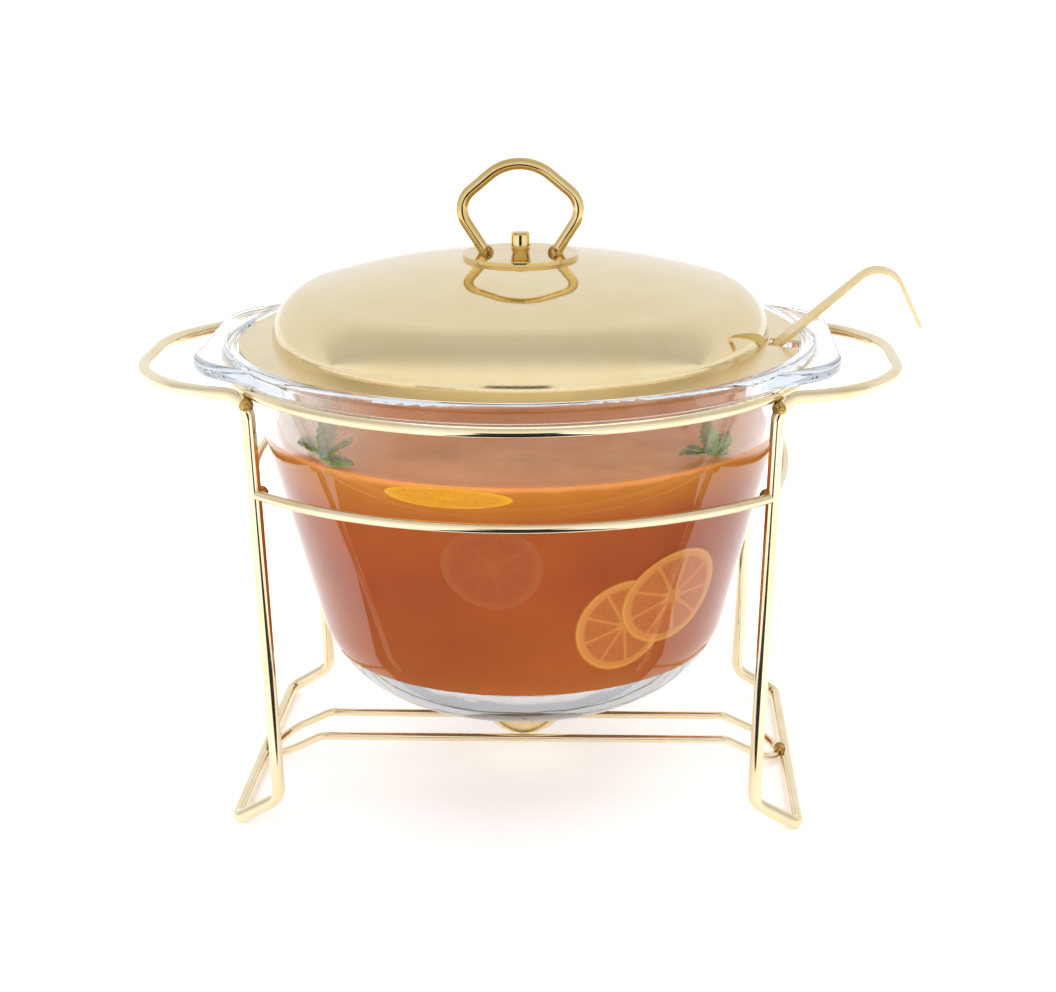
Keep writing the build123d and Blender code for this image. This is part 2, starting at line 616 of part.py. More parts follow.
with BuildPart() as candle_wax:
    with Locations((0, 0, ball_height)):
        Sphere(DISH_BODY_RADIUS - DISH_SHEET)
    split(bisect_by=Plane.XY.offset(wax_top), keep=Keep.BOTTOM)
    split(bisect_by=Plane.XY.offset(sustainer_foot), keep=Keep.TOP)
    add([wick_sustainer.part, candle_wick.part], mode=Mode.SUBTRACT)
save(candle_wax, "candle_wax")
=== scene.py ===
"""Looks for the chafing dish food warmer: metal, glass, tea with fruit, candle flame, light and camera.

Metres, in the frame of the CAD model: +Z up, the handle loops along X, the camera on the -Y side.
"""

import math
import random

import bpy
from mathutils import Matrix, Vector, noise


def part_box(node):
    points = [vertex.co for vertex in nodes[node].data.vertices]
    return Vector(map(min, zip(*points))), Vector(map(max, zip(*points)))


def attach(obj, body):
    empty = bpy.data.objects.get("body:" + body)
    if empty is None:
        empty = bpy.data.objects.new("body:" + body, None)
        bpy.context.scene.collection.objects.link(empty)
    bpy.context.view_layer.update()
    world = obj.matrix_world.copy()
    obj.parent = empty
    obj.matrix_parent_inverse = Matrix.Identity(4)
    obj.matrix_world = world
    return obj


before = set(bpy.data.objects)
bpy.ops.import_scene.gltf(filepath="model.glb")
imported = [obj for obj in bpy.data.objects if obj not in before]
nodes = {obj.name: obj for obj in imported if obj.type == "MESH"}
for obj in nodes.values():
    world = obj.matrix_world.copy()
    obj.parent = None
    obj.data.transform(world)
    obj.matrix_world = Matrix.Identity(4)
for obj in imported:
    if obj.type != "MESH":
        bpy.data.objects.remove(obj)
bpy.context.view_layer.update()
dice = random.Random(7)

# ---------------------------------------------------------------- sizes
TEA_LEVEL = 0.1632
GLASS_CONTACT = 0.0003      # how far the tea reaches into the glass, so that no air shows between them
MIST_INSET = 0.0030         # behind the mint that lies on the wall
BASE_GAP = 0.0009           # under the tea, so that the thick base shows as clear glass
TEA_STEPS = 56
ROUND = 160                 # segments of a turned piece
LEMON_RADIUS = 0.0215
FLAME_HEIGHT = 0.0088
FLAME_RADIUS = 0.0021
FLAME_OVERLAP = 0.0022      # how far the flame reaches down around the wick
FLANGE_WIDTH = 0.014        # of the lid, outside its dome
TEA_EDGE = 0.0010           # how far the tea creeps up the wall
TEA_SKIN = 0.0002           # lowest ring of the tea's side, above the bowl's floor
GAP_FADE_START = 0.010      # the air gap under the tea closes between these heights above the floor
GAP_FADE_LENGTH = 0.008
MIST_TOP_GAP = 0.0032       # between the condensation and the lid's flange
TRAPPED_DEPTH = 3.5         # bounces after which light counts as trapped in the glass

bowl = nodes["glass_bowl"]


def inner_radius(height):
    """The bowl's inner radius at a height, read from the CAD glass."""
    wall_place = bowl.ray_cast(Vector((0, 0, height)), Vector((0, -1, 0)))[1]
    return -wall_place.y


floor_place = bowl.ray_cast(Vector((0, 0, TEA_LEVEL)), Vector((0, 0, -1)))[1]
INNER_FLOOR = floor_place.z
lid_low, lid_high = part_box("lid_shell")
DOME_RADIUS = lid_high.x - FLANGE_WIDTH


# ---------------------------------------------------------------- mesh helpers
def make_piece(name, points, faces, body, smooth=True):
    """A mesh piece that rides on a CAD body."""
    mesh = bpy.data.meshes.new(name)
    mesh.from_pydata([tuple(point) for point in points], [], faces)
    mesh.update()
    for polygon in mesh.polygons:
        polygon.use_smooth = smooth
    piece = bpy.data.objects.new(name, mesh)
    bpy.context.scene.collection.objects.link(piece)
    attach(piece, body)
    return piece


def turned(name, profile, body, segments=ROUND):
    """A piece turned about Z from a profile of radius and height; a zero radius closes it at the axis."""
    points = []
    rings = []
    for radius, height in profile:
        if radius == 0:
            rings.append([len(points)])
            points.append((0, 0, height))
            continue
        ring = []
        for step in range(segments):
            angle = 2 * math.pi * step / segments
            ring.append(len(points))
            points.append((radius * math.cos(angle), radius * math.sin(angle), height))
        rings.append(ring)
    faces = []
    for lower, upper in zip(rings, rings[1:]):
        for step in range(segments):
            following = (step + 1) % segments
            if len(lower) == 1:
                faces.append((lower[0], upper[following], upper[step]))
            elif len(upper) == 1:
                faces.append((lower[step], lower[following], upper[0]))
            else:
                faces.append((lower[step], lower[following], upper[following], upper[step]))
    return make_piece(name, points, faces, body)


def wall_point(bearing, height, inset):
    """A point on the bowl's inner wall, moved inwards by the inset (outwards if it is negative)."""
    radius = inner_radius(height) - inset
    return Vector((radius * math.cos(bearing), radius * math.sin(bearing), height))


# ---------------------------------------------------------------- material helpers
def tone(red, green, blue):
    """A linear colour from the 0 to 255 numbers of a colour picker."""
    return tuple((value / 255) ** 2.2 for value in (red, green, blue)) + (1,)


class Looks:
    """A node material with short calls for the nodes used here."""

    def __init__(self, name):
        self.material = bpy.data.materials.new(name)
        self.material.use_nodes = True
        self.tree = self.material.node_tree
        self.shader = self.tree.nodes["Principled BSDF"]
        self.output = self.tree.nodes["Material Output"]
        self.place = self.node("ShaderNodeTexCoord").outputs["Object"]

    def node(self, kind, **settings):
        made = self.tree.nodes.new(kind)
        for key, value in settings.items():
            setattr(made, key, value)
        return made

    def link(self, source, target):
        self.tree.links.new(source, target)

    def set(self, **values):
        for key, value in values.items():
            self.shader.inputs[key.replace("_", " ")].default_value = value

    def noise(self, scale, detail=4.0, roughness=0.55, place=None):
        made = self.node("ShaderNodeTexNoise")
        made.inputs["Scale"].default_value = scale
        made.inputs["Detail"].default_value = detail
        made.inputs["Roughness"].default_value = roughness
        self.link(place or self.place, made.inputs["Vector"])
        return made.outputs["Fac"]

    def ramp(self, source, stops):
        made = self.node("ShaderNodeValToRGB")
        ramp = made.color_ramp
        while len(ramp.elements) < len(stops):
            ramp.elements.new(0.5)
        for element, (position, colour) in zip(ramp.elements, stops):
            element.position = position
            element.color = colour
        self.link(source, made.inputs["Fac"])
        return made.outputs["Color"]

    def spread(self, source, low, high, to_low, to_high):
        made = self.node("ShaderNodeMapRange")
        limits = {"From Min": low, "From Max": high, "To Min": to_low, "To Max": to_high}
        for socket, value in limits.items():
            made.inputs[socket].default_value = value
        self.link(source, made.inputs["Value"])
        return made.outputs["Result"]

    def mix(self, share, first, second, blend="MIX"):
        made = self.node("ShaderNodeMix", data_type="RGBA", blend_type=blend)
        for socket, value in ((made.inputs[0], share), (made.inputs[6], first), (made.inputs[7], second)):
            if isinstance(value, (int, float, tuple)):
                socket.default_value = value
            else:
                self.link(value, socket)
        return made.outputs[2]

    def maths(self, operation, first, second=None):
        made = self.node("ShaderNodeMath", operation=operation)
        for socket, value in zip(made.inputs, (first, second)):
            if value is None:
                continue
            if isinstance(value, (int, float)):
                socket.default_value = value
            else:
                self.link(value, socket)
        return made.outputs[0]

    def bump(self, height, strength, distance):
        made = self.node("ShaderNodeBump")
        made.inputs["Strength"].default_value = strength
        made.inputs["Distance"].default_value = distance
        self.link(height, made.inputs["Height"])
        self.link(made.outputs["Normal"], self.shader.inputs["Normal"])
        return made

    def feed(self, source, socket):
        self.link(source, self.shader.inputs[socket])


GOLD_PALE = tone(243, 230, 200)
GOLD_DEEP = tone(234, 214, 172)


def gold(name, pale=GOLD_PALE, deep=GOLD_DEEP, smoothest=0.05, roughest=0.12):
    """Polished pale gold plating: slight colour drift, wiping marks in the gloss, a faint waviness."""
    looks = Looks(name)
    looks.set(Metallic=1.0)
    drift = looks.noise(34, 3)
    looks.feed(looks.ramp(drift, [(0.3, deep), (0.7, pale)]), "Base Color")
    wiped = looks.noise(420, 5, 0.7)
    looks.feed(looks.spread(wiped, 0.3, 0.7, smoothest, roughest), "Roughness")
    looks.bump(looks.noise(160, 2), 0.05, 0.0002)
    return looks


wire_gold = gold("wire_gold")
handle_gold = gold("handle_gold", tone(226, 203, 150), tone(208, 178, 112), 0.04, 0.09)
plate_gold = gold("plate_gold", tone(226, 203, 150), tone(212, 184, 122), 0.03, 0.08)
ladle_gold = gold("ladle_gold", tone(236, 216, 168), tone(222, 194, 136), 0.24, 0.36)
dish_gold = gold("dish_gold", tone(240, 224, 184), tone(224, 200, 148), 0.16, 0.34)

lid_gold = gold("lid_gold", tone(233, 215, 174), tone(228, 208, 163), 0.05, 0.09)
lid_split = lid_gold.node("ShaderNodeSeparateXYZ")
lid_gold.link(lid_gold.place, lid_split.inputs[0])
squares = [lid_gold.maths("POWER", lid_split.outputs[axis], 2.0) for axis in (0, 1)]
from_axis = lid_gold.maths("SQRT", lid_gold.maths("ADD", *squares))
flange_share = lid_gold.spread(from_axis, DOME_RADIUS - 0.0005, DOME_RADIUS + 0.0005, 0.0, 1.0)
lid_rough = lid_gold.spread(lid_gold.noise(420, 5, 0.7), 0.3, 0.7, 0.035, 0.075)
lid_gold.feed(lid_gold.maths("ADD", lid_rough, lid_gold.maths("MULTIPLY", flange_share, 0.2)), "Roughness")

weld_metal = Looks("weld_metal")
weld_metal.set(Metallic=1.0)
pits = weld_metal.noise(900, 6, 0.7)
weld_stops = [(0.36, tone(70, 48, 20)), (0.5, tone(190, 152, 76)), (0.7, tone(232, 208, 150))]
weld_metal.feed(weld_metal.ramp(pits, weld_stops), "Base Color")
weld_metal.feed(weld_metal.spread(pits, 0.3, 0.7, 0.45, 0.2), "Roughness")
weld_metal.bump(pits, 0.7, 0.0006)

steel = Looks("fastener_steel")
steel.set(Metallic=1.0)
steel_stops = [(0.3, tone(178, 166, 140)), (0.7, tone(214, 202, 174))]
steel.feed(steel.ramp(steel.noise(300, 4), steel_stops), "Base Color")
steel.feed(steel.spread(steel.noise(700, 4), 0.3, 0.7, 0.14, 0.3), "Roughness")
steel.bump(steel.noise(500, 3), 0.08, 0.0002)

# ---------------------------------------------------------------- glass
glass = Looks("pressed_glass")
glass.shader.inputs["Specular IOR Level"].default_value = 0.2
glass.set(Base_Color=(0.96, 0.97, 0.98, 1), Transmission_Weight=1.0, IOR=1.47, Roughness=0.0)
glass.bump(glass.noise(26, 2), 0.12, 0.0015)
# lamps and soft light pass straight through
see_through = glass.node("ShaderNodeBsdfTransparent")
see_through.inputs["Color"].default_value = (0.94, 0.95, 0.95, 1)
paths = glass.node("ShaderNodeLightPath")
lamp_rays = glass.maths("MAXIMUM", paths.outputs["Is Shadow Ray"], paths.outputs["Is Diffuse Ray"])
choose = glass.node("ShaderNodeMixShader")
glass.link(lamp_rays, choose.inputs[0])
glass.link(glass.shader.outputs[0], choose.inputs[1])
glass.link(see_through.outputs[0], choose.inputs[2])
# light that has bounced about inside the glass is let out, a little dimmed
let_out = glass.node("ShaderNodeBsdfTransparent")
let_out.inputs["Color"].default_value = (0.58, 0.63, 0.69, 1)
trapped = glass.maths("GREATER_THAN", paths.outputs["Ray Depth"], TRAPPED_DEPTH)
trapped = glass.maths("MULTIPLY", trapped, glass.maths("SUBTRACT", 1.0, lamp_rays))
release = glass.node("ShaderNodeMixShader")
glass.link(trapped, release.inputs[0])
glass.link(choose.outputs[0], release.inputs[1])
glass.link(let_out.outputs[0], release.inputs[2])
glass.link(release.outputs[0], glass.output.inputs["Surface"])

# ---------------------------------------------------------------- tea
# a turned body that fills the bowl, with a thin air gap under it and an edge that creeps up the wall
profile = [(0, INNER_FLOOR + BASE_GAP)]
for step in range(TEA_STEPS + 1):
    share = 1 - math.cos(0.5 * math.pi * step / TEA_STEPS)
    height = INNER_FLOOR + TEA_SKIN + share * (TEA_LEVEL - INNER_FLOOR - TEA_SKIN)
    low_share = min(1.0, max(0.0, (height - INNER_FLOOR - GAP_FADE_START) / GAP_FADE_LENGTH))
    inset = (1 - low_share) * BASE_GAP
    profile.append((inner_radius(height) + GLASS_CONTACT - inset, height + inset))
wall_at_level = inner_radius(TEA_LEVEL)
for edge_out, edge_up in ((GLASS_CONTACT, TEA_EDGE), (-0.0006, 0.0006), (-0.0020, 0.0001)):
    profile.append((wall_at_level + edge_out, TEA_LEVEL + edge_up))
for reach_share in (0.96, 0.9, 0.8, 0.65, 0.5, 0.35, 0.2):
    profile.append((wall_at_level * reach_share, TEA_LEVEL))
profile.append((0, TEA_LEVEL))
tea_piece = turned("tea", profile, "bowl")
for vertex in tea_piece.data.vertices:
    if vertex.co.z > TEA_LEVEL - 0.0001 and vertex.co.xy.length < wall_at_level - 0.003:
        vertex.co.z += 0.0006 * noise.noise(vertex.co * 45)

tea = Looks("tea")
tea_split = tea.node("ShaderNodeSeparateXYZ")
tea.link(tea.place, tea_split.inputs[0])
height_share = tea.spread(tea_split.outputs[2], INNER_FLOOR, TEA_LEVEL, 0.0, 1.0)
wander = tea.spread(tea.noise(24, 2), 0.3, 0.7, -0.02, 0.02)
depth_colour = tea.ramp(
    tea.maths("ADD", height_share, wander),
    [
        (0.0, tone(120, 74, 44)),
        (0.05, tone(180, 106, 44)),
        (0.22, tone(160, 80, 32)),
        (0.60, tone(154, 70, 30)),
        (0.84, tone(162, 78, 32)),
        (0.90, tone(178, 102, 38)),
        (0.985, tone(190, 116, 42)),
        # painted light: the top surface is paler, matching the glow fed below
        (1.0, tone(212, 136, 72)),
    ],
)
cloud = tea.ramp(tea.noise(13, 3, 0.5), [(0.34, (0.74, 0.66, 0.66, 1)), (0.62, (1.0, 1.0, 1.0, 1))])
tea_colour = tea.mix(0.8, depth_colour, cloud, "MULTIPLY")
tea.feed(tea_colour, "Base Color")
# painted glow: the tea emits its own colour, faintly throughout and more strongly on its top surface,
# standing in for light the lid keeps off it
tea.feed(tea_colour, "Emission Color")
tea.feed(tea.spread(height_share, 0.985, 1.0, 0.12, 0.4), "Emission Strength")
tea.set(Roughness=0.25, IOR=1.33, Sheen_Weight=0.5, Sheen_Roughness=0.5)
tea.shader.inputs["Sheen Tint"].default_value = tone(236, 190, 160)
tea.shader.inputs["Specular IOR Level"].default_value = 0.25
tea.bump(tea.noise(60, 2), 0.05, 0.001)


def dress(obj, looks):
    """Gives an object one material."""
    obj.data.materials.clear()
    obj.data.materials.append(looks.material)


dress(tea_piece, tea)


# ---------------------------------------------------------------- fruit and mint
def wall_slice(name, bearing, height, radius, outset, body="bowl", squeeze=1.0):
    """A thin round slice that lies against the bowl's inner wall, bent with it; its UV map is the disc."""
    rings = 14
    around = 60
    middle = inner_radius(height)
    points = [wall_point(bearing, height, -outset - 0.0004)]
    flat = [(0.5, 0.5)]
    for ring in range(1, rings + 1):
        share = ring / rings
        crown = 0.0004 * (1 - share**6)
        for step in range(around):
            angle = 2 * math.pi * step / around
            wobble = 1 + 0.012 * math.sin(3 * angle + height * 90)
            across = radius * share * wobble * math.cos(angle)
            up = radius * share * wobble * squeeze * math.sin(angle)
            points.append(wall_point(bearing + across / middle, height + up, -outset - crown))
            flat.append((0.5 + 0.5 * share * math.cos(angle), 0.5 + 0.5 * share * math.sin(angle)))
    faces = []
    for step in range(around):
        following = (step + 1) % around
        faces.append((0, 1 + step, 1 + following))
        for ring in range(rings - 1):
            low = 1 + ring * around
            high = low + around
            faces.append((low + step, high + step, high + following, low + following))
    piece = make_piece(name, points, faces, body)
    layer = piece.data.uv_layers.new(name="disc")
    for loop in piece.data.loops:
        layer.data[loop.index].uv = flat[loop.vertex_index]
    return piece


def citrus(name, rind, pith, pulp, membrane, strength, segments=9):
    """A citrus slice: rind, pale pith, and pulp parted by thin membranes that meet near the middle."""
    looks = Looks(name)
    disc = looks.node("ShaderNodeTexCoord").outputs["UV"]
    centred = looks.node("ShaderNodeVectorMath", operation="SUBTRACT")
    centred.inputs[1].default_value = (0.5, 0.5, 0.0)
    looks.link(disc, centred.inputs[0])
    parts = looks.node("ShaderNodeSeparateXYZ")
    looks.link(centred.outputs[0], parts.inputs[0])
    length = looks.node("ShaderNodeVectorMath", operation="LENGTH")
    looks.link(centred.outputs[0], length.inputs[0])
    reach = looks.maths("MULTIPLY", length.outputs["Value"], 2.0)
    angle = looks.maths("ARCTAN2", parts.outputs[1], parts.outputs[0])
    spoke = looks.maths("ABSOLUTE", looks.maths("SINE", looks.maths("MULTIPLY", angle, segments / 2)))
    away = looks.maths("MULTIPLY", spoke, reach)
    spoke_share = looks.spread(away, 0.06, 0.2, 1.0, 0.0)
    grain_stops = [(0.35, (0.86, 0.84, 0.8, 1)), (0.65, (1.06, 1.06, 1.04, 1))]
    grain = looks.ramp(looks.noise(700, 4, 0.7), grain_stops)
    flesh = looks.mix(1.0, pulp, grain, "MULTIPLY")
    flesh = looks.mix(spoke_share, flesh, membrane)
    no_pith = (0, 0, 0, 1)
    all_pith = (1, 1, 1, 1)
    shells = looks.ramp(reach, [(0.1, all_pith), (0.17, no_pith), (0.78, no_pith), (0.84, all_pith)])
    flesh = looks.mix(shells, flesh, pith)
    outer = looks.spread(reach, 0.9, 0.94, 0.0, 1.0)
    colour = looks.mix(outer, flesh, rind)
    looks.feed(colour, "Base Color")
    # painted glow: the slice faintly emits its own colours
    looks.feed(colour, "Emission Color")
    looks.set(Emission_Strength=0.18, Roughness=0.5)
    fade = looks.spread(reach, 0.95, 1.0, strength, 0.0)
    looks.feed(fade, "Alpha")
    looks.bump(looks.noise(600, 3), 0.2, 0.0003)
    return looks


lemon = citrus(
    "lemon_slice",
    rind=tone(210, 142, 56), pith=tone(200, 126, 56), pulp=tone(184, 100, 40), membrane=tone(200, 124, 54),
    strength=0.85,
)
lemon_deep = citrus(
    "lemon_deep",
    rind=tone(186, 104, 50), pith=tone(184, 100, 50), pulp=tone(178, 90, 42), membrane=tone(184, 98, 48),
    strength=0.45,
)
orange = citrus(
    "orange_slice",
    rind=tone(228, 164, 14), pith=tone(224, 156, 16), pulp=tone(220, 148, 14), membrane=tone(221, 149, 15),
    strength=0.9,
)
slices = [
    ("lemon_slice_low", -60.6, 0.0965, LEMON_RADIUS, 0.0006, lemon, 1.0),
    ("lemon_slice_high", -46.8, 0.1055, 1.18 * LEMON_RADIUS, 0.0011, lemon, 0.86),
    ("lemon_slice_faint", -94.0, 0.127, 0.021, 0.0004, lemon_deep, 0.9),
    ("orange_slice", -103.0, 0.1585, 0.027, 0.0006, orange, 0.17),
]
for name, degrees, height, radius, outset, looks, squeeze in slices:
    dress(wall_slice(name, math.radians(degrees), height, radius, outset, "bowl", squeeze), looks)

mint = Looks("mint_leaf")
leaf_noise = mint.noise(260, 4, 0.6)
mint_stops = [(0.3, tone(84, 114, 46)), (0.55, tone(128, 148, 72)), (0.8, tone(172, 182, 112))]
mint.feed(mint.ramp(leaf_noise, mint_stops), "Base Color")
mint.set(Roughness=0.55)
mint.shader.inputs["Subsurface Weight"].default_value = 0.15
mint.bump(leaf_noise, 0.5, 0.0006)


def leaf(name, root, lean, roll, length, width):
    """One toothed leaf, folded along its rib, that starts at a root and grows along a direction."""
    along = 22
    across = 8
    forward = lean.normalized()
    out = Vector((root.x, root.y, 0)).normalized()
    side = forward.cross(out).normalized()
    face_up = side.cross(forward)
    side = (Matrix.Rotation(roll, 3, forward) @ side).normalized()
    face_up = (Matrix.Rotation(roll, 3, forward) @ face_up).normalized()
    points = []
    for row in range(along + 1):
        share = row / along
        half = width * math.sin(math.pi * min(1.0, 0.03 + share)) ** 0.75
        half *= 1 + 0.16 * math.sin(2 * math.pi * 7 * share)
        droop = -0.12 * length * share**2
        for column in range(-across, across + 1):
            spread = column / across
            lift = 0.28 * width * abs(spread) + 0.06 * width * math.sin(9 * share + 3 * spread)
            points.append(root + forward * length * share + side * half * spread + face_up * (lift + droop))
    faces = []
    row_length = 2 * across + 1
    for row in range(along):
        for column in range(2 * across):
            corner = row * row_length + column
            faces.append((corner, corner + 1, corner + 1 + row_length, corner + row_length))
    piece = make_piece(name, points, faces, "bowl")
    thick = piece.modifiers.new("thickness", "SOLIDIFY")
    thick.thickness = 0.0003
    dress(piece, mint)
    return piece


def sprig(name, bearing, height, inset, size, leans):
    """A mint sprig floating against the wall: leaves in several directions from one root point."""
    root = wall_point(bearing, height, inset)
    out = Vector((math.cos(bearing), math.sin(bearing), 0))
    side = Vector((-out.y, out.x, 0))
    for number, (sideways, upward, roll) in enumerate(leans):
        lean = side * sideways + Vector((0, 0, 1)) * upward - out * 0.12
        length = size * dice.uniform(0.85, 1.1)
        leaf(f"{name}_{number}", root, lean, math.radians(90 + roll), length, length * 0.30)


sprig(
    "mint_left", math.radians(-134.0), 0.1684, 0.0014, 0.0190,
    [(0.1, 1.0, 6), (-0.95, 0.25, -12), (0.9, 0.45, 14), (0.75, -0.12, 8), (-0.4, 0.1, -6)],
)
sprig(
    "mint_right", math.radians(-43.5), 0.1688, 0.0014, 0.0150,
    [(0.0, 1.0, 6), (-0.9, 0.4, -10), (0.85, 0.35, 12), (0.5, -0.05, 8), (-0.5, 0.1, -6)],
)

# ---------------------------------------------------------------- condensation on the glass above the tea
mist_foot = TEA_LEVEL + TEA_EDGE + 0.0001
mist_top = lid_low.z - MIST_TOP_GAP
mist_profile = []
for step in range(13):
    height = mist_foot + (mist_top - mist_foot) * step / 12
    mist_profile.append((inner_radius(height) - MIST_INSET, height))
mist_piece = turned("condensation", mist_profile, "bowl", 200)
mist = Looks("condensation")
# painted glow: the condensation faintly emits its own colour, fed below
mist.set(Roughness=0.35, Emission_Strength=0.15)
patches = mist.noise(38, 5, 0.65)
mist_split = mist.node("ShaderNodeSeparateXYZ")
mist.link(mist.place, mist_split.inputs[0])
left_share = mist.spread(mist_split.outputs[0], -0.09, -0.045, 1.0, 0.0)
mist_tan = mist.ramp(patches, [(0.35, tone(206, 134, 78)), (0.65, tone(220, 164, 120))])
mist_colour = mist.mix(left_share, mist_tan, tone(232, 226, 216))
mist.feed(mist_colour, "Base Color")
mist.feed(mist_colour, "Emission Color")
beads = mist.node("ShaderNodeTexVoronoi")
beads.inputs["Scale"].default_value = 620
mist.link(mist.place, beads.inputs["Vector"])
bead_share = mist.spread(beads.outputs["Distance"], 0.2, 0.42, 1.0, 0.0)
haze = mist.spread(patches, 0.3, 0.72, 0.03, 0.26)
haze = mist.maths("ADD", haze, mist.maths("MULTIPLY", left_share, 0.4))
mist.feed(mist.maths("ADD", haze, mist.maths("MULTIPLY", bead_share, 0.12)), "Alpha")
mist.bump(bead_share, 0.5, 0.0004)
dress(mist_piece, mist)

# ---------------------------------------------------------------- candle
flame_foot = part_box("candle_wick")[1].z - FLAME_OVERLAP
flame_profile = [(0, flame_foot)]
for step in range(1, 24):
    share = step / 24
    width = math.sin(math.pi * share**0.72) ** 0.9 * (1 - 0.35 * share)
    flame_profile.append((FLAME_RADIUS * width, flame_foot + FLAME_HEIGHT * share))
flame_profile.append((0, flame_foot + FLAME_HEIGHT))
flame_piece = turned("flame", flame_profile, "burner", 32)
flame = Looks("flame")
flame_split = flame.node("ShaderNodeSeparateXYZ")
flame.link(flame.place, flame_split.inputs[0])
flame_share = flame.spread(flame_split.outputs[2], flame_foot, flame_foot + FLAME_HEIGHT, 0.0, 1.0)
flame_stops = [
    (0.0, tone(214, 140, 70)), (0.35, tone(246, 206, 130)),
    (0.8, tone(255, 236, 190)), (1.0, tone(255, 214, 140)),
]
flame_colour = flame.ramp(flame_share, flame_stops)
flame.feed(flame_colour, "Base Color")
flame.feed(flame_colour, "Emission Color")
flame.set(Emission_Strength=1.0, Roughness=0.8)
dress(flame_piece, flame)

wax = Looks("candle_wax")
wax_stops = [(0.3, tone(236, 226, 200)), (0.7, tone(247, 241, 224))]
wax.feed(wax.ramp(wax.noise(120, 3), wax_stops), "Base Color")
wax.set(Roughness=0.4)
wax.shader.inputs["Subsurface Weight"].default_value = 0.3
wax.shader.inputs["Subsurface Radius"].default_value = (0.004, 0.003, 0.002)
wax.bump(wax.noise(240, 3), 0.15, 0.0006)

char = Looks("burnt_wick")
char_stops = [(0.35, tone(48, 30, 20)), (0.65, tone(120, 82, 48))]
char.feed(char.ramp(char.noise(1500, 4), char_stops), "Base Color")
char.set(Roughness=0.95)
char.bump(char.noise(2500, 3), 0.8, 0.0004)

tin = Looks("tin")
tin.set(Metallic=1.0)
tin_stops = [(0.3, tone(186, 184, 176)), (0.7, tone(214, 212, 206))]
tin.feed(tin.ramp(tin.noise(260, 4), tin_stops), "Base Color")
tin.feed(tin.spread(tin.noise(500, 4), 0.3, 0.7, 0.22, 0.4), "Roughness")

# ---------------------------------------------------------------- materials of the CAD pieces
metal_of = {
    "lid_shell": lid_gold,
    "handle_plate": plate_gold,
    "lid_handle": handle_gold,
    "cap_nut": handle_gold,
    "ladle_handle": ladle_gold,
    "ladle_cup": ladle_gold,
    "burner_dish": dish_gold,
    "lid_stud": steel,
    "lid_washer": steel,
    "lid_nut": steel,
    "ladle_rivets": steel,
    "glass_bowl": glass,
    "candle_wax": wax,
    "candle_wick": char,
    "wick_sustainer": tin,
}
for name, node in nodes.items():
    if name.endswith("_welds"):
        dress(node, weld_metal)
    else:
        dress(node, metal_of.get(name, wire_gold))

# ---------------------------------------------------------------- floor
FLOOR_REACH = 20.0
floor = Looks("floor")
floor_stops = [(0.3, (0.93, 0.93, 0.925, 1)), (0.7, (0.95, 0.95, 0.945, 1))]
floor.feed(floor.ramp(floor.noise(3, 2), floor_stops), "Base Color")
floor.set(Roughness=0.7, Emission_Color=(1, 1, 1, 1), Emission_Strength=0.3)
floor.shader.inputs["Specular IOR Level"].default_value = 0.1
floor_mesh = bpy.data.meshes.new("floor")
floor_corners = [(x * FLOOR_REACH, y * FLOOR_REACH, 0) for x, y in ((-1, -1), (1, -1), (1, 1), (-1, 1))]
floor_mesh.from_pydata(floor_corners, [], [(0, 1, 2, 3)])
floor_piece = bpy.data.objects.new("floor", floor_mesh)
bpy.context.scene.collection.objects.link(floor_piece)
floor_mesh.materials.append(floor.material)

# ---------------------------------------------------------------- light
scene = bpy.context.scene
scene.view_settings.view_transform = "Standard"
world = bpy.data.worlds.new("studio")
scene.world = world
world.use_nodes = True
# brightness of the sky by the angle from the front horizon over the top to the back one
tree = world.node_tree
background = tree.nodes["Background"]
direction = tree.nodes.new("ShaderNodeTexCoord").outputs["Generated"]
sky_split = tree.nodes.new("ShaderNodeSeparateXYZ")
tree.links.new(direction, sky_split.inputs[0])
from_front = tree.nodes.new("ShaderNodeMath")
from_front.operation = "ARCTAN2"
steep = tree.nodes.new("ShaderNodeMath")
steep.operation = "ABSOLUTE"
tree.links.new(sky_split.outputs[2], steep.inputs[0])
tree.links.new(steep.outputs[0], from_front.inputs[0])
flip = tree.nodes.new("ShaderNodeMath")
flip.operation = "MULTIPLY"
flip.inputs[1].default_value = -1
tree.links.new(sky_split.outputs[1], flip.inputs[0])
tree.links.new(flip.outputs[0], from_front.inputs[1])
turn = tree.nodes.new("ShaderNodeMapRange")
turn.inputs["From Min"].default_value = 0
turn.inputs["From Max"].default_value = math.pi
tree.links.new(from_front.outputs[0], turn.inputs["Value"])
zones = tree.nodes.new("ShaderNodeValToRGB")
tree.links.new(turn.outputs[0], zones.inputs["Fac"])
sky_stops = [
    (0.0, 1.08), (0.11, 1.1), (0.18, 1.0), (0.24, 0.86), (0.32, 0.72), (0.40, 0.67),
    (0.60, 0.74), (0.72, 0.90), (0.78, 0.94), (1.0, 0.96),
]
ramp = zones.color_ramp
while len(ramp.elements) < len(sky_stops):
    ramp.elements.new(0.5)
for element, (position, value) in zip(ramp.elements, sky_stops):
    element.position = position
    element.color = (value, value, value, 1)
tree.links.new(zones.outputs["Color"], background.inputs["Color"])
background.inputs["Strength"].default_value = 1.0


def soft_light(name, place, target, width, height, power):
    """A soft rectangular lamp that faces a target and doesn't show in reflections."""
    lamp = bpy.data.lights.new(name, "AREA")
    lamp.shape = "RECTANGLE"
    lamp.size = width
    lamp.size_y = height
    lamp.energy = power
    holder = bpy.data.objects.new(name, lamp)
    holder.location = place
    holder.rotation_euler = (Vector(target) - Vector(place)).to_track_quat("-Z", "Y").to_euler()
    holder.visible_glossy = False
    scene.collection.objects.link(holder)


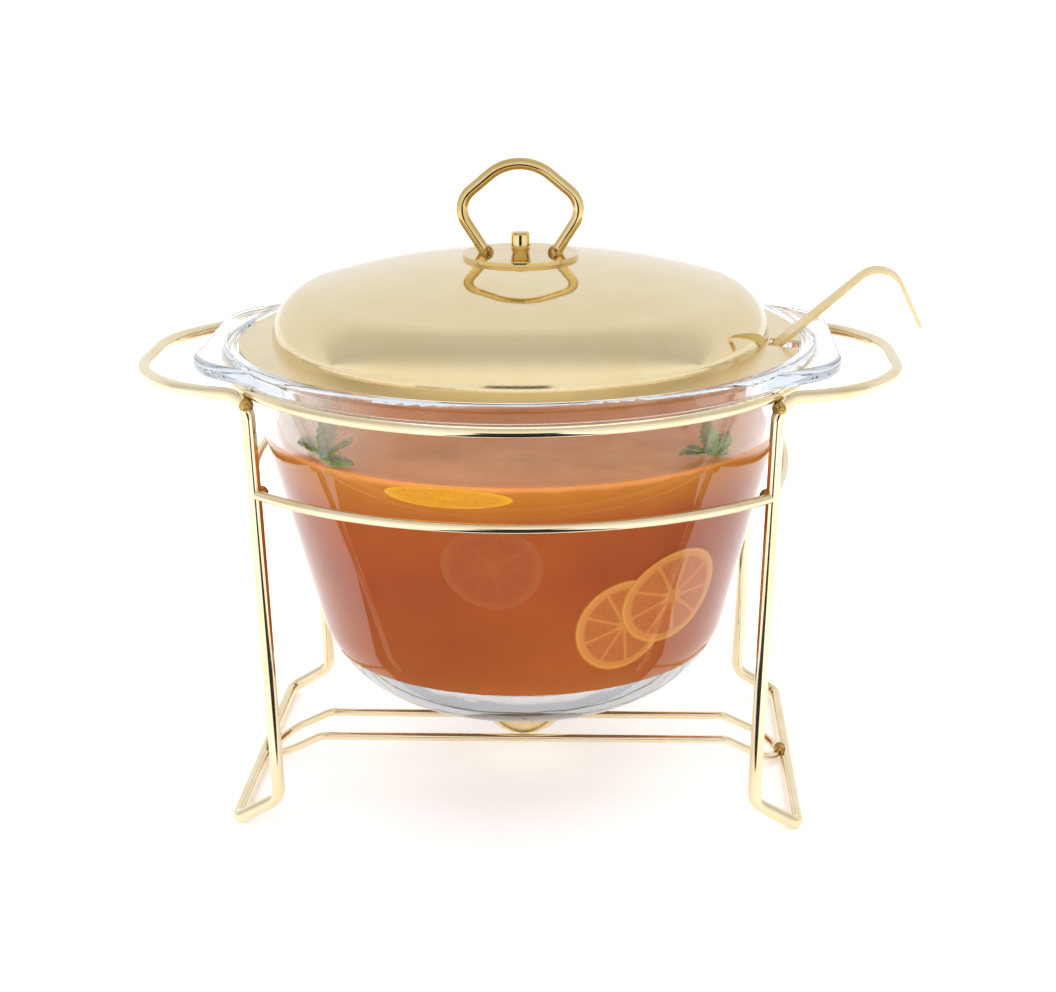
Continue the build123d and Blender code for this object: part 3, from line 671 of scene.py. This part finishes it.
middle = (0, 0, 0.12)
soft_light("front_light", (-0.5, -1.3, 1.0), middle, 1.4, 1.0, 6)
soft_light("top_light", (0.1, 0.1, 1.6), middle, 1.8, 1.8, 9)
soft_light("back_light", (0.4, 1.4, 0.7), middle, 1.6, 1.0, 6)


def card_shade(name, sharp_only):
    """Near-black, but clear to light that has passed through glass, and if wished to all but sharp rays."""
    shade = Looks(name)
    shade.set(Base_Color=(0.01, 0.008, 0.006, 1), Roughness=0.9)
    light_path = shade.node("ShaderNodeLightPath")
    clear = shade.maths("GREATER_THAN", light_path.outputs["Transmission Depth"], 0.5)
    if sharp_only:
        blurred = shade.maths("SUBTRACT", 1.0, light_path.outputs["Is Singular Ray"])
        clear = shade.maths("MAXIMUM", clear, blurred)
    nothing = shade.node("ShaderNodeBsdfTransparent")
    shade_choice = shade.node("ShaderNodeMixShader")
    shade.link(clear, shade_choice.inputs[0])
    shade.link(shade.shader.outputs[0], shade_choice.inputs[1])
    shade.link(nothing.outputs[0], shade_choice.inputs[2])
    shade.link(shade_choice.outputs[0], shade.output.inputs["Surface"])
    return shade


def dark_card(name, corners, looks):
    """A dark card that only reflections show, a painted dark reflection like the one the unlit space round
    a camera makes in polished wire.
    """
    mesh = bpy.data.meshes.new(name)
    mesh.from_pydata(corners, [], [tuple(range(len(corners)))])
    mesh.materials.append(looks.material)
    card = bpy.data.objects.new(name, mesh)
    scene.collection.objects.link(card)
    card.visible_camera = False
    card.visible_diffuse = False
    card.visible_shadow = False
    card.visible_transmission = False


wire_shade = card_shade("wire_shade", False)
glass_shade = card_shade("glass_shade", True)
CARD_NEAR = -0.135
CARD_FAR = -1.1
CARD_FLOOR = 0.004
CARD_TOP = 0.2
# painted dark reflections: the low and high cards in front draw the dark lines in the polished wire
dark_card(
    "card_low",
    [
        (-0.08, CARD_NEAR, CARD_FLOOR), (0.10, CARD_NEAR, CARD_FLOOR),
        (0.18, CARD_FAR, CARD_FLOOR), (-0.12, CARD_FAR, CARD_FLOOR),
    ],
    wire_shade,
)
dark_card(
    "card_high",
    [
        (-0.3, CARD_FAR, CARD_FLOOR), (0.36, CARD_FAR, CARD_FLOOR),
        (0.28, CARD_FAR, CARD_TOP), (-0.22, CARD_FAR, CARD_TOP),
    ],
    wire_shade,
)

# painted dark reflection: a wide dark sheet over the floor in front, seen only in sharp reflections such as
# the glass's, so the bowl mirrors less of the pale floor
dark_card(
    "card_wide",
    [
        (-0.6, -0.05, 2 * CARD_FLOOR), (0.6, -0.05, 2 * CARD_FLOOR),
        (1.2, CARD_FAR, 2 * CARD_FLOOR), (-1.2, CARD_FAR, 2 * CARD_FLOOR),
    ],
    glass_shade,
)

# ---------------------------------------------------------------- camera
CAMERA_PLACE = (0.0479, -0.8471, 0.3916)
CAMERA_DOWN = 0.2735        # radians that the camera looks down
CAMERA_LEFT = 0.0223        # radians that it looks to the left
LENS = 67.93                # millimetres, on a 36 mm wide sensor
LENS_SHIFT = -0.0568        # across and up, in frame widths
camera_data = bpy.data.cameras.new("camera")
camera_data.sensor_width = 36
camera_data.lens = LENS
camera_data.shift_x = LENS_SHIFT
camera_data.shift_y = LENS_SHIFT
camera = bpy.data.objects.new("camera", camera_data)
camera.location = CAMERA_PLACE
camera.rotation_euler = (math.pi / 2 - CAMERA_DOWN, 0, CAMERA_LEFT)
scene.collection.objects.link(camera)
scene.camera = camera
